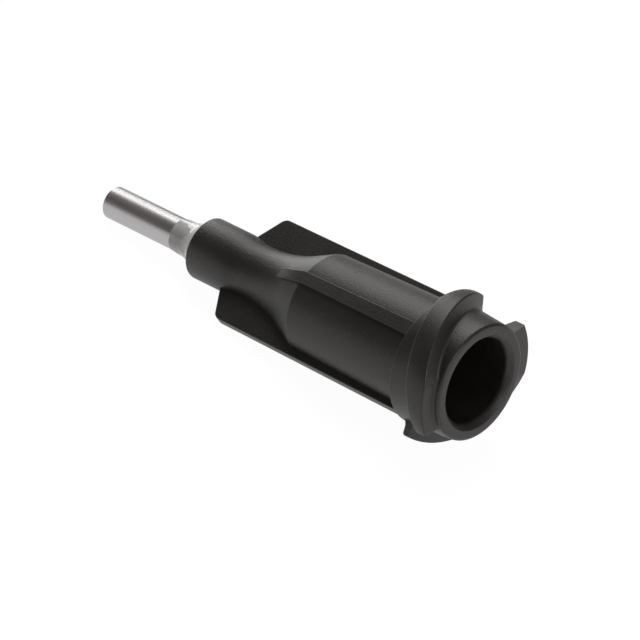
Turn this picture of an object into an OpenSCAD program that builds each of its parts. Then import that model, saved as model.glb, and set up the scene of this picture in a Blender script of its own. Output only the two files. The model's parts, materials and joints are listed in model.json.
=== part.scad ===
// Dispensing needle tip: a moulded hub with a tapered female socket and a double-start
// locking thread, a straight stainless cannula, and the bead of epoxy that holds it.
// Built along +Z from the mouth to the tip, then laid down as it rests on a bench.

/* [Cannula] */
// Outside diameter of the steel tube
cannula_od = 1.65; // [1.4:0.05:1.9]
// Inside diameter of the steel tube
cannula_id = 1.19; // [0.6:0.01:1.4]
// Length of tube that stands out of the nose
cannula_exposed = 6.35; // [4:0.05:25]
// Length of tube glued inside the nose
cannula_seat = 6; // [3:0.1:6.4]
// Length of the seated tube that the glue doesn't reach
cannula_dry = 1.5; // [0.2:0.1:2]
// Depth of the small chamfer round each cut end of the tube
cannula_break = 0.04; // [0.02:0.01:0.08]
// Radial gap between tube and nose hole
cannula_clearance = 0.04; // [0.02:0.01:0.1]

/* [Adhesive] */
// Depth of the glue well in the nose
well_depth = 1.6; // [0.8:0.1:3]
// Wall left round the glue well at the nose face
well_wall = 0.14; // [0.1:0.01:0.3]
// How much narrower the well is at its floor, in radius
well_draft = 0.2; // [0.1:0.05:0.35]
// How far the glue climbs the tube beyond the nose face
bead_climb = 1.8; // [0.8:0.1:2.6]
// Thickness of the glue film where it ends on the tube
bead_film = 0.03; // [0.02:0.01:0.08]

/* [Socket] */
// Bore of the tapered socket at the mouth
socket_d = 4.3; // [4.2:0.01:4.4]
// Taper of the socket, diameter lost over length
socket_taper = 0.06; // [0.04:0.01:0.08]
// Depth of the tapered socket
socket_depth = 8.4; // [7:0.1:9]
// Radial step of the lead-in at the mouth
lead_in = 0.26; // [0.1:0.01:0.35]
// Width of the step that stops the tube at the bottom of its seat
stop_step = 0.055; // [0.02:0.005:0.2]
// Length of the cone between socket and throat
funnel_length = 1.5; // [1:0.1:2]

/* [Hub body] */
// Overall length of the moulded hub
hub_length = 17.5; // [16.5:0.1:20]
// Outside diameter at the mouth
mouth_od = 5.85; // [5.6:0.05:6.2]
// Radius of the rounded outer edge at the mouth
mouth_round = 0.15; // [0.05:0.01:0.25]
// Diameter of the collar behind the thread
collar_od = 6.24; // [6:0.02:6.6]
// Distance from the mouth to the back of the collar
collar_end = 2.86; // [2.6:0.02:3.4]
// Barrel diameter beside the collar
barrel_od = 5.58; // [5.4:0.02:5.9]
// Barrel diameter at the shoulder
shoulder_od = 5.22; // [5:0.02:5.38]
// Distance from the mouth to the shoulder
shoulder_at = 9.9; // [9:0.1:10.5]
// Diameter of the waist behind the nose
waist_od = 2.84; // [2.7:0.02:3.1]
// Distance from the mouth to the waist
waist_at = 13.9; // [13:0.1:14.2]
// Slope of the cone between the shoulder and the waist
flare_slope = 24.5; // [20:0.5:32]
// Diameter of the nose
nose_od = 3.14; // [3:0.02:3.4]
// Distance from the mouth to the start of the straight nose
nose_at = 15.6; // [15:0.1:16]

/* [Wings] */
// Thickness of each wing
wing_thickness = 0.55; // [0.4:0.05:0.8]
// Distance from the axis to the wing's outer edge at its front corner
wing_reach = 2.98; // [2.7:0.02:3.1]
// Distance from the mouth to the front corner of the wing
wing_corner_at = 14.55; // [13.5:0.05:15]
// Distance from the mouth to the root of the swept front edge
wing_root_at = 15.3; // [14.6:0.05:16]
// Radius of the front corner
wing_corner_r = 0.4; // [0.1:0.05:0.8]

/* [Ribs] */
// Width of each rib at the shoulder
rib_front_w = 0.58; // [0.4:0.02:0.8]
// Width of each rib at the collar
rib_back_w = 0.72; // [0.5:0.02:1]
// Height of each rib above the barrel
rib_height = 0.18; // [0.1:0.02:0.3]
// Length over which a rib runs out on the flare
rib_runout = 2; // [1:0.1:3]

/* [Thread] */
// Diameter over the thread crests
thread_od = 7.5; // [7.2:0.02:7.83]
// Advance of the thread in one turn, with two starts
thread_lead = 5; // [4.6:0.1:5.4]
// Angle that each thread covers
thread_arc = 157; // [140:1:165]
// Where the first thread starts, as an angle from the wings
thread_phase = 10; // [0:0.5:20]
// Distance from the mouth to the flat that cuts the threads off in front
thread_front = 0.27; // [0.2:0.01:0.5]
// Distance from the mouth to the flat that cuts the threads off behind
thread_back = 2.44; // [2.2:0.02:2.56]
// Width of the crest at the front end of each thread
crest_w_front = 1.3; // [1:0.05:1.5]
// Width of the crest at the back end of each thread
crest_w_back = 0.95; // [0.8:0.05:1.2]
// Distance from the mouth to the crest's back edge where each thread starts
crest_start = 0.9; // [0.7:0.02:1.1]
// Slope of the thread flanks, from square to the axis
flank_slope = 12; // [5:1:25]
// Draft of the thread ends, as an angle about the axis
end_draft = 6; // [2:1:10]
// Radius of the fillet at the thread root
root_fillet = 0.25; // [0.1:0.05:0.35]

/* [Hidden] */

mouth_r = mouth_od / 2;
collar_r = collar_od / 2;
barrel_r = barrel_od / 2;
shoulder_r = shoulder_od / 2;
waist_r = waist_od / 2;
nose_r = nose_od / 2;
crest_r = thread_od / 2;
tube_r = cannula_od / 2;
seat_r = tube_r + cannula_clearance;
throat_r = tube_r - stop_step;
well_r = nose_r - well_wall;
tube_start = hub_length - cannula_seat;
tube_end = hub_length + cannula_exposed;

// Number of threads, and of flat steps along the curved outlines
thread_starts = 2;
flare_steps = 10;
neck_steps = 6;
bead_steps = 8;
round_steps = 4;
thread_steps = 28;
// Chamfer on the thread crests
crest_break = 0.08;
// Step from the collar down to the wings' outer edges
wing_step = 0.04;
// How far one moulded form runs into the next, so that they join as one body
sink = 0.25;
// Clearance of a cutting tool past the face that it cuts
past = 1;
$fn = 72;

function mix(a, b, t) = a + (b - a) * t;
function reversed(list) = [for (i = [len(list) - 1 : -1 : 0]) list[i]];

// The hub's outline between the mouth and the collar is a slightly flared cone
function root_radius(z) = mix(mouth_r, collar_r, z / collar_end);

// The flare is a cone that starts at the shoulder and ends in an arc, level at the waist
flare_rise = shoulder_r - waist_r;
flare_run = waist_at - shoulder_at;
flare_radius = (flare_run * tan(flare_slope) - flare_rise) / (1 / cos(flare_slope) - 1);
flare_arc_at = waist_at - flare_radius * sin(flare_slope);
function flare(z) =
    z < flare_arc_at
        ? shoulder_r - (z - shoulder_at) * tan(flare_slope)
        : waist_r + flare_radius - sqrt(pow(flare_radius, 2) - pow(waist_at - z, 2));

// The neck swells from the waist to the straight nose in one soft wave
function neck(t) = mix(waist_r, nose_r, (1 - cos(180 * t)) / 2);

module hub_body() {
    rotate_extrude()
        polygon(concat(
            [[0, 0]],
            [for (i = [0 : round_steps])
                let (a = 90 * i / round_steps)
                [mouth_r - mouth_round * (1 - sin(a)), mouth_round * (1 - cos(a))]],
            [[collar_r, collar_end], [barrel_r, collar_end], [shoulder_r, shoulder_at]],
            [for (i = [0 : flare_steps])
                let (z = mix(flare_arc_at, waist_at, i / flare_steps))
                [flare(z), z]],
            [for (i = [1 : neck_steps])
                [neck(i / neck_steps), mix(waist_at, nose_at, i / neck_steps)]],
            [[nose_r, hub_length], [0, hub_length]]
        ));
}

// Both wings are one flat plate through the axis, with swept and rounded front corners
wing_back_reach = collar_r - wing_step;
wing_sweep = atan2(wing_root_at - wing_corner_at, wing_reach - nose_r);
wing_turn = 90 - wing_sweep;
wing_corner = [wing_reach - wing_corner_r, wing_corner_at - wing_corner_r * tan(wing_turn / 2)];
function wing_edge() = concat(
    [[wing_back_reach, collar_end - sink]],
    [for (i = [0 : round_steps])
        let (a = wing_turn * i / round_steps)
        wing_corner + wing_corner_r * [cos(a), sin(a)]],
    [[nose_r - sink, wing_root_at + sink * tan(wing_sweep)]]
);

module wings() {
    edge = wing_edge();
    rotate([90, 0, 0])
        translate([0, 0, -wing_thickness / 2])
            linear_extrude(wing_thickness)
                polygon(concat(edge, [for (p = reversed(edge)) [-p[0], p[1]]]));
}

// The ribs stand a little proud of the barrel and run out on the flare
module ribs() {
    rib_end = shoulder_at + rib_runout;
    intersection() {
        rotate_extrude()
            polygon([
                [throat_r, collar_end - sink],
                [barrel_r + rib_height, collar_end - sink],
                [shoulder_r + rib_height, shoulder_at],
                [flare(rib_end), rib_end],
                [throat_r, rib_end]
            ]);
        rotate([0, -90, -90])
            translate([0, 0, -collar_od])
                linear_extrude(2 * collar_od)
                    polygon([
                        [collar_end - sink, -rib_back_w / 2],
                        [rib_end, -rib_front_w / 2],
                        [rib_end, rib_front_w / 2],
                        [collar_end - sink, rib_back_w / 2]
                    ]);
    }
}

// Crest edges of one thread, at t from 0 where it starts near the mouth to 1 at its back end
function crest_back(t) = crest_start + thread_lead * thread_arc * t / 360;
function crest_front(t) = crest_back(t) - mix(crest_w_front, crest_w_back, t);

// Front and back outline of the thread's section at radius r, before the root fillets
function flank(r) = (crest_r - r) * tan(flank_slope);
function front_z(t, r) = max(crest_front(t) - flank(r), thread_front);
function back_z(t, r) = min(crest_back(t) + flank(r), thread_back);

// One side of the section as points [radius, z] from below the root to the crest;
// side is -1 for the front, which faces the mouth, and 1 for the back
front_fillet = min(root_fillet, thread_front - mouth_round);
back_fillet = min(root_fillet, collar_end - thread_back);
function side_z(t, r, side) = side < 0 ? front_z(t, r) : back_z(t, r);
function thread_side(t, side) =
    let (
        fillet = side < 0 ? front_fillet : back_fillet,
        foot = root_radius(side_z(t, mouth_r, side))
    )
    concat(
        [[mouth_r - sink, side_z(t, mouth_r, side) + side * fillet]],
        [for (i = [0 : round_steps])
            let (a = 90 * i / round_steps, r = foot + fillet * (1 - cos(a)))
            [r, side_z(t, r, side) + side * fillet * (1 - sin(a))]],
        [
            [crest_r - crest_break, side_z(t, crest_r, side)],
            [crest_r, side_z(t, crest_r, side) - side * crest_break]
        ]
    );

function thread_section(t) = concat(thread_side(t, -1), reversed(thread_side(t, 1)));

// The ends lean outwards towards the root by the draft of the mould
function end_lean(r) = end_draft * (crest_r - r) / (crest_r - mouth_r);
function thread_angle(t, r) = mix(-end_lean(r), thread_arc + end_lean(r), t);

// The ends and sides are strips of triangles, because the leaning ends aren't quite flat
module thread() {
    sections = [for (i = [0 : thread_steps]) thread_section(i / thread_steps)];
    n = len(sections[0]);
    last = thread_steps * n;
    polyhedron(
        points = [for (i = [0 : thread_steps]) for (p = sections[i])
            let (a = thread_angle(i / thread_steps, p[0]))
            [p[0] * cos(a), p[0] * sin(a), p[1]]],
        faces = concat(
            [for (j = [0 : n / 2 - 2])
                each [[n - 1 - j, j + 1, j], [n - 1 - j, n - 2 - j, j + 1]]],
            [for (i = [0 : thread_steps - 1]) for (j = [0 : n - 1])
                let (a = i * n + j, b = i * n + (j + 1) % n)
                each [[b, a + n, a], [b + n, a + n, b]]],
            [for (j = [0 : n / 2 - 2])
                each [[last + j, last + j + 1, last + n - 1 - j],
                      [last + j + 1, last + n - 2 - j, last + n - 1 - j]]]
        )
    );
}

// Tapered socket, funnel, throat, tube seat and glue well, cut in one pass
module hub_bore() {
    socket_end_r = (socket_d - socket_taper * socket_depth) / 2;
    lead_r = socket_d / 2 + lead_in;
    funnel_end = socket_depth + funnel_length;
    rotate_extrude()
        polygon([
            [0, -past],
            [lead_r, -past],
            [lead_r, 0],
            [(socket_d - socket_taper * lead_in) / 2, lead_in],
            [socket_end_r, socket_depth],
            [throat_r, funnel_end],
            [throat_r, tube_start],
            [seat_r, tube_start],
            [seat_r, hub_length - well_depth],
            [well_r - well_draft, hub_length - well_depth],
            [well_r, hub_length],
            [well_r, hub_length + past],
            [0, hub_length + past]
        ]);
}

module hub() {
    color([0.15, 0.145, 0.14])
        lie_down() difference() {
            union() {
                hub_body();
                wings();
                ribs();
                for (k = [0 : thread_starts - 1])
                    rotate(thread_phase + k * 360 / thread_starts) thread();
            }
            hub_bore();
        }
}

// Straight drawn tube, cut square, with its end edges just broken
module cannula() {
    bore_r = cannula_id / 2;
    color([0.78, 0.78, 0.8])
        lie_down() rotate_extrude()
            polygon([
                [bore_r + cannula_break, tube_start],
                [tube_r - cannula_break, tube_start],
                [tube_r, tube_start + cannula_break],
                [tube_r, tube_end - cannula_break],
                [tube_r - cannula_break, tube_end],
                [bore_r + cannula_break, tube_end],
                [bore_r, tube_end - cannula_break],
                [bore_r, tube_start + cannula_break]
            ]);
}

// The glue fills the well and the gap round the tube, and draws up the tube in a hollow curve
module adhesive_bead() {
    film_r = tube_r + bead_film;
    color([0.8, 0.8, 0.78, 0.7])
        lie_down() rotate_extrude()
            polygon(concat(
                [
                    [tube_r, tube_start + cannula_dry],
                    [seat_r, tube_start + cannula_dry],
                    [seat_r, hub_length - well_depth],
                    [well_r - well_draft, hub_length - well_depth]
                ],
                [for (i = [0 : bead_steps])
                    let (a = 90 * i / bead_steps)
                    [mix(well_r, film_r, sin(a)), hub_length + bead_climb * (1 - cos(a))]],
                [[tube_r, hub_length + bead_climb]]
            ));
}

// Left alone on a bench, the tip comes to rest on three points: the rim of the tube's free
// end, the back edge of a thread crest, and the rounded front corner of one wing. Each lies
// r * cos(angle off the down side) + z * tan(tilt) below the axis, and all three are equal.
// The tilt and the down side's angle depend on each other, so they are worked out in turn,
// a few times over.
rim_at = tube_end - cannula_break;
function crest_edge_at(angle) =
    min(crest_start + thread_lead * (angle - thread_phase) / 360, thread_back) - crest_break;
function rest(rounds, down = 120) =
    let (
        slope = (crest_r - tube_r) / (rim_at - crest_edge_at(down)),
        round_drop = wing_corner_r * norm([cos(down), slope]),
        corner_drop = tube_r + slope * (rim_at - wing_corner[1]) - round_drop,
        side = wing_thickness / 2,
        lift = acos(min(1, corner_drop / norm([wing_corner[0], side]))),
        next = 180 - atan(side / wing_corner[0]) - lift
    )
    rounds == 0 ? [atan(slope), next] : rest(rounds - 1, next);
rest_tilt = rest(6)[0];
rest_roll = 180 - rest(6)[1];
module lie_down() {
    rotate([0, -rest_tilt, 0]) rotate([0, -90, 0]) rotate([0, 0, rest_roll]) children();
}

hub();
cannula();
adhesive_bead();
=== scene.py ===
# A dispensing needle tip, dressed piece by piece: the moulded hub, the steel tube and the
# bead of epoxy that holds it, lying on a white bench under plain soft light.
import json
import math

import bmesh
import bpy
from mathutils import Matrix, Vector, noise


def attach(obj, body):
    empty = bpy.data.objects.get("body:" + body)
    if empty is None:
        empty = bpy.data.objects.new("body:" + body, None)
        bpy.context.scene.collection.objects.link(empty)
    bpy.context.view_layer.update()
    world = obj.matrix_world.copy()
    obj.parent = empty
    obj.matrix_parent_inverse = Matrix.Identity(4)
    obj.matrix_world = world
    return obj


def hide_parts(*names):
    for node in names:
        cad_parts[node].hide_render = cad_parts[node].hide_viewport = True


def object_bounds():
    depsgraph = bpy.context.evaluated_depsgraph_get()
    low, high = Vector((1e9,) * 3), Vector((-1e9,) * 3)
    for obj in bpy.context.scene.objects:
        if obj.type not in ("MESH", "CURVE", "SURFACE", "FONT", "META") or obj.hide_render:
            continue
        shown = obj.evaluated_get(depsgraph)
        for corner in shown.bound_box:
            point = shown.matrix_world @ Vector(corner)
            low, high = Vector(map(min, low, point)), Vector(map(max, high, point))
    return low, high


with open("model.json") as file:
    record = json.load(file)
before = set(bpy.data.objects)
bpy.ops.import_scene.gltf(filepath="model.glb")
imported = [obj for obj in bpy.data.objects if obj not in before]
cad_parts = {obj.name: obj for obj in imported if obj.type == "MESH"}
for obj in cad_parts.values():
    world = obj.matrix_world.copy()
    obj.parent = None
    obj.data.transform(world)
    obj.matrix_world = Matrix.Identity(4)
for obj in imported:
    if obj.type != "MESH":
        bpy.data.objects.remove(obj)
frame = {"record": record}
cad_box = [list(corner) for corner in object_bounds()]
low, high = (Vector(corner) for corner in cad_box)


# ---------------------------------------------------------------------------
# Hub. Injection-moulded polypropylene, filled near black, with a fine satin
# skin from the tool. It carries the socket, lock threads, wings and ribs.
# ---------------------------------------------------------------------------

class Reading:
    """A shader socket that can be used in sums: each operator adds a Math node."""

    def __init__(self, paint, socket):
        self.paint = paint
        self.socket = socket

    def join(self, operation, *terms):
        return self.paint.node("ShaderNodeMath", {"operation": operation}, terms)[0]

    def __add__(self, other):
        return self.join("ADD", self, other)

    def __sub__(self, other):
        return self.join("SUBTRACT", self, other)

    def __rsub__(self, other):
        return self.join("SUBTRACT", other, self)

    def __mul__(self, other):
        return self.join("MULTIPLY", self, other)

    __radd__ = __add__
    __rmul__ = __mul__


class Paint:
    """One node material: node() adds any node, its settings first and its sockets after."""

    def __init__(self, name):
        self.material = bpy.data.materials.new(name)
        self.material.use_nodes = True
        self.tree = self.material.node_tree
        self.tree.nodes.clear()

    def node(self, kind, settings=None, values=()):
        made = self.tree.nodes.new(kind)
        for key, value in (settings or {}).items():
            setattr(made, key, value)
        named = values.items() if isinstance(values, dict) else enumerate(values)
        for key, value in named:
            if isinstance(value, Reading):
                self.tree.links.new(value.socket, made.inputs[key])
            else:
                made.inputs[key].default_value = value
        return [Reading(self, socket) for socket in made.outputs if socket.enabled]

    def ramp(self, factor, *stops):
        made = self.tree.nodes.new("ShaderNodeValToRGB")
        stripes = made.color_ramp.elements
        while len(stripes) < len(stops):
            stripes.new(0.5)
        for stripe, (at, level) in zip(stripes, stops):
            stripe.position = at
            stripe.color = (level, level, level, 1)
        self.tree.links.new(factor.socket, made.inputs[0])
        return Reading(self, made.outputs[0])

    def finish(self, shader):
        self.node("ShaderNodeOutputMaterial", {}, [shader])
        return self.material


# How the tip lies: its own axis runs from the mouth to the steel end, against the axis of
# the socket's mount, and it is rolled until a wing corner touches the bench
mm = 0.001
socket = next(m for m in frame["record"]["mounts"] if m["name"] == "lock_socket")
out_of_mouth = Vector(socket["axis"])
tilt = math.atan2(out_of_mouth.z, out_of_mouth.x)
roll = math.radians(50.31)
lie = (
    Matrix.Translation(socket["pos_m"])
    @ Matrix.Rotation(-tilt - math.pi / 2, 4, "Y")
    @ Matrix.Rotation(roll, 4, "Z")
    @ Matrix.Scale(mm, 4)
)

# Outline of the moulding as (radius, distance from the mouth) in millimetres, round the
# outside from the mouth to the nose and back through the glue well, seat and socket.
# The third number is the radius of the corner, and the last how many facets it gets.
mouth_r, collar_r, barrel_r, shoulder_r, waist_r, nose_r = 2.925, 3.12, 2.79, 2.61, 1.42, 1.57
collar_end, shoulder_at, waist_end, nose_start, hub_length = 2.86, 9.9, 14.45, 15.15, 17.5
flare_slope = math.radians(24.5)
flare_foot = shoulder_at + (shoulder_r - waist_r) / math.tan(flare_slope)
well_mouth_r, well_floor_r, well_floor = 1.43, 1.23, 15.9
seat_r, seat_end, throat_r, throat_start = 0.865, 11.5, 0.77, 9.9
socket_end_r, socket_end, socket_mouth_r, lead_in_r, lead_in = 1.898, 8.4, 2.142, 2.41, 0.26
hub_outline = [
    (lead_in_r, 0, 0.05, 3), (mouth_r, 0, 0.16, 6), (collar_r, collar_end, 0.05, 3),
    (barrel_r, collar_end, 0, 0), (shoulder_r, shoulder_at, 0.25, 4),
    (waist_r, flare_foot, 6.2, 16), (waist_r, waist_end, 2.2, 4), (nose_r, nose_start, 2.2, 4),
    (nose_r, hub_length, 0.06, 3), (well_mouth_r, hub_length, 0.03, 2),
    (well_floor_r, well_floor, 0, 0), (seat_r, well_floor, 0, 0), (seat_r, seat_end, 0, 0),
    (throat_r, seat_end, 0, 0), (throat_r, throat_start, 0.3, 3),
    (socket_end_r, socket_end, 0.2, 3), (socket_mouth_r, lead_in, 0.3, 3),
]


def turned(outline, steps):
    """A closed outline of (radius, height, corner radius, facets), turned round the axis."""
    bm = bmesh.new()
    bm.faces.new([bm.verts.new((r, 0, z)) for r, z, _, _ in outline])
    for r, z, corner, facets in outline:
        if not corner:
            continue
        bm.verts.ensure_lookup_table()
        point = min(bm.verts, key=lambda v: (v.co - Vector((r, 0, z))).length)
        a, b = ((e.other_vert(point).co - point.co).normalized() for e in point.link_edges)
        run = corner * math.tan((math.pi - a.angle(b)) / 2)
        bmesh.ops.bevel(bm, geom=[point], offset=run, offset_type="OFFSET", segments=facets,
                        profile=0.5, affect="VERTICES", material=-1)
    bmesh.ops.delete(bm, geom=bm.faces[:], context="FACES_ONLY")
    bmesh.ops.spin(bm, geom=bm.verts[:] + bm.edges[:], cent=(0, 0, 0), axis=(0, 0, 1),
                   angle=2 * math.pi, steps=steps, use_merge=True)
    bmesh.ops.remove_doubles(bm, verts=bm.verts, dist=1e-5)
    bmesh.ops.recalc_face_normals(bm, faces=bm.faces)
    return bm


def ease_edges(bm, width, facets, least=40):
    """Rounds every edge that turns by more than least degrees."""
    sharp = [e for e in bm.edges if e.is_manifold and e.calc_face_angle(0) > math.radians(least)]
    bmesh.ops.bevel(bm, geom=sharp, offset=width, offset_type="OFFSET", segments=facets,
                    profile=0.5, affect="EDGES", clamp_overlap=True, material=-1)


def slab(outline, thickness, corners=()):
    """A flat plate in the XZ plane, centred on it, with the given corners rounded off."""
    bm = bmesh.new()
    face = bm.faces.new([bm.verts.new((x, -thickness / 2, z)) for x, z in outline])
    for x, z, run in corners:
        point = min(bm.verts, key=lambda v: (v.co - Vector((x, -thickness / 2, z))).length)
        bmesh.ops.bevel(bm, geom=[point], offset=run, offset_type="OFFSET", segments=8,
                        profile=0.5, affect="VERTICES", material=-1)
    made = bmesh.ops.extrude_face_region(bm, geom=bm.faces[:])["geom"]
    bmesh.ops.translate(bm, vec=(0, thickness, 0),
                        verts=[v for v in made if isinstance(v, bmesh.types.BMVert)])
    bmesh.ops.recalc_face_normals(bm, faces=bm.faces)
    return bm


def wing():
    """A plate whose root is buried in the wall; its outer edge ends in a rounded corner."""
    thick, reach, corner_at, corner_r, corner_turn = 0.55, 2.98, 14.55, 0.4, 62
    run = corner_r * math.tan(math.radians(corner_turn / 2))
    bm = slab([(2.3, 2.6), (3.08, 2.6), (reach, corner_at), (1.45, 15.364), (1.2, 15.3),
               (1.2, 10.6), (2.3, 9)], thick, [(reach, corner_at, run)])
    ease_edges(bm, 0.05, 3)
    return bm


def rib():
    """A low flat strip between the wings, narrower towards the nose, run out on the flare."""
    back_w, front_w, back_at, front_at = 0.72, 0.58, 2.61, 11.9
    bm = slab([(2.3, back_at), (2.95, back_at), (2.77, shoulder_at), (1.735, front_at),
               (1.3, 11.2), (2.3, 9)], 1)
    for v in bm.verts:
        v.co.y *= back_w + (front_w - back_w) * (v.co.z - back_at) / (front_at - back_at)
    ease_edges(bm, 0.045, 3)
    return bm


# Lock threads: a section swept round with its lead, cut off by a flat in front and behind.
# The crest starts out wide and narrows along the arc.
crest_r, crest_start, crest_wide, crest_narrow, crest_round = 3.75, 0.9, 1.3, 0.95, 0.1
thread_lead, thread_arc, thread_phase, thread_facets = 5, 157, 10, 56
thread_front, thread_back, root_front, root_back, sink = 0.27, 2.44, 0.12, 0.25, 0.25
flank, end_draft = math.tan(math.radians(12)), 6
quarter = [(math.sin(math.radians(a)), math.cos(math.radians(a)))
           for a in (0, 22.5, 45, 67.5, 90)]


def thread_section(t):
    """Points (radius, height) round the section, t from 0 at its front end to 1."""
    back = crest_start + thread_lead * thread_arc * t / 360
    front = back - crest_wide + (crest_wide - crest_narrow) * t
    ring = []
    for side, fillet in ((-1, root_front), (1, root_back)):
        def edge(r):
            rise = (crest_r - r) * flank
            return max(front - rise, thread_front) if side < 0 else min(back + rise, thread_back)
        foot = mouth_r + (collar_r - mouth_r) * edge(mouth_r) / collar_end
        half = [(mouth_r - sink, edge(mouth_r) + side * fillet)]
        for s, c in quarter:
            r = foot + fillet * (1 - c)
            half.append((r, edge(r) + side * fillet * (1 - s)))
        for s, c in quarter:
            half.append((crest_r + crest_round * (s - 1),
                         edge(crest_r) - side * crest_round * (1 - c)))
        ring += half if side < 0 else half[::-1]
    return ring


def thread(phase):
    """The section spun through its arc, each vertex then moved to its place on the helix."""
    bm = bmesh.new()
    place_in_ring = bm.verts.layers.int.new("place_in_ring")
    first = [bm.verts.new((r, 0, z)) for r, z in thread_section(0)]
    for i, v in enumerate(first):
        v[place_in_ring] = i
    bm.faces.new(first)
    bmesh.ops.spin(bm, geom=bm.verts[:] + bm.edges[:] + bm.faces[:], cent=(0, 0, 0),
                   axis=(0, 0, 1), angle=math.radians(thread_arc), steps=thread_facets)
    for v in bm.verts:
        turn = math.degrees(math.atan2(v.co.y, v.co.x)) / thread_arc
        t = round(turn * thread_facets) / thread_facets
        r, z = thread_section(t)[v[place_in_ring]]
        lean = end_draft * (crest_r - r) / (crest_r - mouth_r)
        a = math.radians(phase - lean + (thread_arc + 2 * lean) * t)
        v.co = (r * math.cos(a), r * math.sin(a), z)
    bmesh.ops.recalc_face_normals(bm, faces=bm.faces)
    ends = [e for f in bm.faces if len(f.verts) > 8 for e in f.edges
            if min(v.co.xy.length for v in e.verts) > mouth_r + 0.3]
    bmesh.ops.bevel(bm, geom=ends, offset=0.1, offset_type="OFFSET", segments=4, profile=0.5,
                    affect="EDGES", clamp_overlap=True, material=-1)
    return bm


def placed(bm, name, turn=0):
    """The finished mesh as an object; turn is in degrees round the tip's axis."""
    bmesh.ops.rotate(bm, verts=bm.verts, cent=(0, 0, 0),
                     matrix=Matrix.Rotation(math.radians(turn), 3, "Z"))
    mesh = bpy.data.meshes.new(name)
    bm.to_mesh(mesh)
    bm.free()
    made = bpy.data.objects.new(name, mesh)
    bpy.context.scene.collection.objects.link(made)
    return made


hub = placed(turned(hub_outline, 144), "moulded_hub")
added = [
    placed(wing(), "wing"), placed(wing(), "wing", 180),
    placed(rib(), "rib", 90), placed(rib(), "rib", 270),
    placed(thread(thread_phase), "thread"), placed(thread(thread_phase), "thread", 180),
]
for extra in added:
    join = hub.modifiers.new("join", "BOOLEAN")
    join.operation = "UNION"
    join.solver = "EXACT"
    join.object = extra
bpy.context.view_layer.update()
welded = bpy.data.meshes.new_from_object(hub.evaluated_get(bpy.context.evaluated_depsgraph_get()))
hub.modifiers.clear()
hub.data = welded
for extra in added:
    bpy.data.objects.remove(extra)


def smooth_over(obj, sharp_angle):
    """Lays the piece down as the tip lies and shades it smooth, but for its sharp edges."""
    bm = bmesh.new()
    bm.from_mesh(obj.data)
    bmesh.ops.remove_doubles(bm, verts=bm.verts, dist=1e-4)
    bmesh.ops.transform(bm, matrix=lie, verts=bm.verts)
    bmesh.ops.recalc_face_normals(bm, faces=bm.faces)
    for face in bm.faces:
        face.smooth = True
    bm.to_mesh(obj.data)
    bm.free()
    obj.data.set_sharp_from_angle(angle=math.radians(sharp_angle))
    even = obj.modifiers.new("even", "WEIGHTED_NORMAL")
    even.keep_sharp = True


smooth_over(hub, 32)

hub_black = (0.0145, 0.0115, 0.0095, 1)
hub_dusty = (0.024, 0.0205, 0.0195, 1)

hub_paint = Paint("charcoal_polypropylene")
place = hub_paint.node("ShaderNodeTexCoord")[3]
speckle = hub_paint.node(
    "ShaderNodeTexNoise", {}, {"Vector": place, "Scale": 9000, "Detail": 3})[0]
cloud = hub_paint.node(
    "ShaderNodeTexNoise", {}, {"Vector": place, "Scale": 500, "Detail": 4})[0]
tone = hub_paint.node(
    "ShaderNodeMix", {"data_type": "RGBA"},
    {"Factor": hub_paint.ramp(cloud, (0.35, 0), (0.75, 1)), 6: hub_black, 7: hub_dusty})[0]
grain = hub_paint.node(
    "ShaderNodeBump", {}, {"Strength": 0.7, "Distance": 0.02 * mm, "Height": speckle})[0]
hub_material = hub_paint.finish(hub_paint.node(
    "ShaderNodeBsdfPrincipled", {},
    {"Base Color": tone, "Roughness": 0.42 + 0.1 * cloud, "Normal": grain})[0])

hub.data.materials.clear()
hub.data.materials.append(hub_material)
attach(hub, "root")
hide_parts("hub")


# ---------------------------------------------------------------------------
# Cannula. Drawn stainless tube, cut square and tumbled, so its ends are softly
# rounded. It is pushed down to the seat in the nose and glued there.
# ---------------------------------------------------------------------------

tube_r, bore_r, tube_end = 0.825, 0.595, 23.85
tube = placed(turned([
    (bore_r, seat_end, 0.03, 2), (tube_r, seat_end, 0.06, 3),
    (tube_r, tube_end, 0.07, 5), (bore_r, tube_end, 0.05, 3),
], 96), "steel_cannula")
smooth_over(tube, 50)

steel_paint = Paint("drawn_stainless")
place = steel_paint.node("ShaderNodeTexCoord")[3]
along = steel_paint.node(
    "ShaderNodeMapping", {"vector_type": "TEXTURE"},
    {"Vector": place, "Rotation": (0, -tilt, 0), "Scale": (30, 1, 1)})[0]
streak = steel_paint.node(
    "ShaderNodeTexNoise", {}, {"Vector": along, "Scale": 9000, "Detail": 4})[0]
stain = steel_paint.node(
    "ShaderNodeTexNoise", {}, {"Vector": place, "Scale": 700, "Detail": 3})[0]
steel_tone = steel_paint.node(
    "ShaderNodeMix", {"data_type": "RGBA"},
    {"Factor": streak, 6: (0.4, 0.38, 0.38, 1), 7: (0.5, 0.49, 0.5, 1)})[0]
scratches = steel_paint.node(
    "ShaderNodeBump", {}, {"Strength": 0.25, "Distance": 0.005 * mm, "Height": streak})[0]
tube.data.materials.append(steel_paint.finish(steel_paint.node(
    "ShaderNodeBsdfPrincipled", {"distribution": "GGX"},
    {"Base Color": steel_tone, "Metallic": 1.0,
     "Roughness": 0.24 + 0.14 * streak + 0.08 * stain, "Normal": scratches})[0]))
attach(tube, "root")
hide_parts("cannula")


# ---------------------------------------------------------------------------
# Adhesive bead. Clear epoxy, run into the well round the tube and cured. Surface
# tension drew it into a hollow fillet up the steel, a little uneven all round.
# ---------------------------------------------------------------------------

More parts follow.
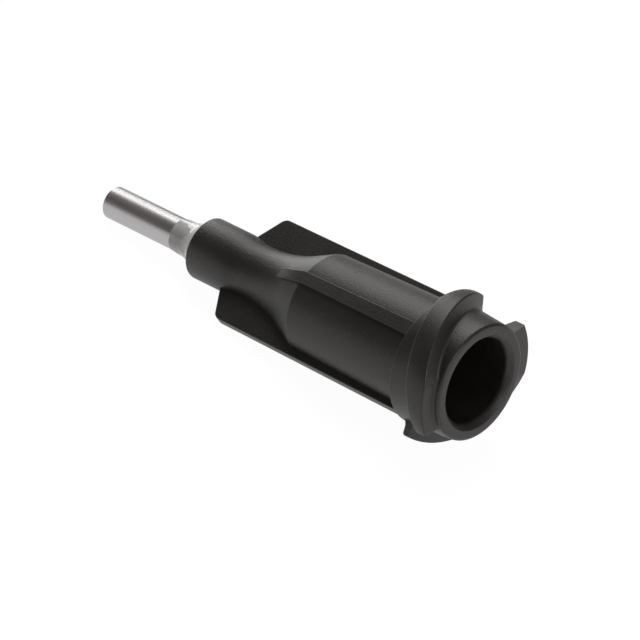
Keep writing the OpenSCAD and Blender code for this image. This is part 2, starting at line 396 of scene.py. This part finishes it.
bead_top, film, lump, lumps_per_mm, on_steel = 19.3, 0.03, 0.05, 1.7, 0.01
bm = turned([
    (tube_r, well_floor, 0, 0), (well_floor_r, well_floor, 0, 0),
    (well_mouth_r, hub_length, 0, 0), (0.95, 18.05, 1.9, 12),
    (tube_r + film, bead_top, 0, 0), (tube_r, bead_top, 0, 0),
], 96)
for v in bm.verts:
    if v.co.z > hub_length and v.co.xy.length > tube_r + on_steel:
        v.co.xy *= 1 + lump * noise.noise(v.co * lumps_per_mm)
bead = placed(bm, "epoxy_bead")
smooth_over(bead, 50)

epoxy_paint = Paint("clear_epoxy")
place = epoxy_paint.node("ShaderNodeTexCoord")[3]
cure = epoxy_paint.node("ShaderNodeTexNoise", {}, {"Vector": place, "Scale": 900, "Detail": 3})[0]
haze = epoxy_paint.node(
    "ShaderNodeMix", {"data_type": "RGBA"},
    {"Factor": cure, 6: (0.78, 0.78, 0.77, 1), 7: (0.9, 0.9, 0.9, 1)})[0]
ripple = epoxy_paint.node(
    "ShaderNodeBump", {}, {"Strength": 0.2, "Distance": 0.03 * mm, "Height": cure})[0]
bead.data.materials.append(epoxy_paint.finish(epoxy_paint.node(
    "ShaderNodeBsdfPrincipled", {},
    {"Base Color": haze, "Roughness": 0.05 + 0.06 * cure, "Transmission Weight": 0.45, "IOR": 1.5,
     "Normal": ripple})[0]))
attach(bead, "root")
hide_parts("adhesive_bead")


# ---------------------------------------------------------------------------
# Bench, light and camera. A matt white bench, seen as plain white but for a trace
# of the tip's shadow, under three soft boxes: above, low behind, and at the mouth.
# ---------------------------------------------------------------------------

bench_half = 0.6
bm = bmesh.new()
bmesh.ops.create_grid(bm, x_segments=1, y_segments=1, size=bench_half)
bmesh.ops.translate(bm, verts=bm.verts, vec=(low.x + high.x, 0, low.z))
bench_mesh = bpy.data.meshes.new("bench")
bm.to_mesh(bench_mesh)
bm.free()
bench = bpy.data.objects.new("bench", bench_mesh)
bpy.context.scene.collection.objects.link(bench)
bench_paint = Paint("white_bench")
seen = bench_paint.node("ShaderNodeLightPath")
matt = bench_paint.node("ShaderNodeBsdfDiffuse", {}, [(0.55, 0.53, 0.5, 1)])[0]
faint = bench_paint.node("ShaderNodeBsdfDiffuse", {}, [(0.06, 0.06, 0.06, 1)])[0]
glow = bench_paint.node("ShaderNodeEmission", {}, {"Color": (1, 1, 1, 1), "Strength": 0.97})[0]
lit = bench_paint.node("ShaderNodeAddShader", {}, [faint, glow])[0]
by_eye = seen[0] + seen[3] + seen[6]
bench.data.materials.append(bench_paint.finish(
    bench_paint.node("ShaderNodeMixShader", {}, [by_eye, matt, lit])[0]))

world = bpy.data.worlds.new("studio")
bpy.context.scene.world = world
world.use_nodes = True
sky = world.node_tree
sky.nodes.clear()
sky_path = sky.nodes.new("ShaderNodeLightPath")
sky_dim = sky.nodes.new("ShaderNodeBackground")
sky_dim.inputs["Strength"].default_value = 0.16
sky_white = sky.nodes.new("ShaderNodeBackground")
sky_white.inputs["Color"].default_value = (1, 1, 1, 1)
sky_dim.inputs["Color"].default_value = (1, 0.92, 0.86, 1)
sky_mix = sky.nodes.new("ShaderNodeMixShader")
sky_out = sky.nodes.new("ShaderNodeOutputWorld")
sky.links.new(sky_path.outputs["Is Camera Ray"], sky_mix.inputs[0])
sky.links.new(sky_dim.outputs[0], sky_mix.inputs[1])
sky.links.new(sky_white.outputs[0], sky_mix.inputs[2])
sky.links.new(sky_mix.outputs[0], sky_out.inputs[0])

middle = (low + high) / 2


def soft_box(name, from_side, height, distance, size, power):
    """A square lamp that looks at the tip; from_side is degrees round from +X."""
    lamp = bpy.data.lights.new(name, "AREA")
    lamp.shape = "SQUARE"
    lamp.size = size
    lamp.energy = power
    holder = bpy.data.objects.new(name, lamp)
    a, e = math.radians(from_side), math.radians(height)
    off = Vector((math.cos(a) * math.cos(e), math.sin(a) * math.cos(e), math.sin(e))) * distance
    holder.location = middle + off
    holder.rotation_euler = off.to_track_quat("Z", "Y").to_euler()
    bpy.context.scene.collection.objects.link(holder)


soft_box("soft_box_over", 138, 58, 0.3, 0.22, 0.62)
soft_box("soft_box_back", 152, 10, 0.3, 0.16, 0.3)
soft_box("soft_box_front", -8, 24, 0.35, 0.12, 0.34)

# The camera stands well back with a long lens and is a little rolled. Its aim is a point
# just beside the middle of the tip.
aim = middle + Vector((1.88, -0.04, -1.87)) * mm
from_side, height, lean = (math.radians(a) for a in (-53.07, 31.76, 12.33))
distance, sensor, lens = 0.2652, 36, 315
shot = bpy.data.cameras.new("camera")
shot.sensor_width = sensor
shot.lens = lens
shot.clip_start = 0.01
camera = bpy.data.objects.new("camera", shot)
camera.matrix_world = (
    Matrix.Translation(aim)
    @ Matrix.Rotation(from_side + math.pi / 2, 4, "Z")
    @ Matrix.Rotation(math.pi / 2 - height, 4, "X")
    @ Matrix.Rotation(lean, 4, "Z")
    @ Matrix.Translation((0, 0, distance))
)
bpy.context.scene.collection.objects.link(camera)
bpy.context.scene.camera = camera
bpy.context.scene.view_settings.view_transform = "Standard"
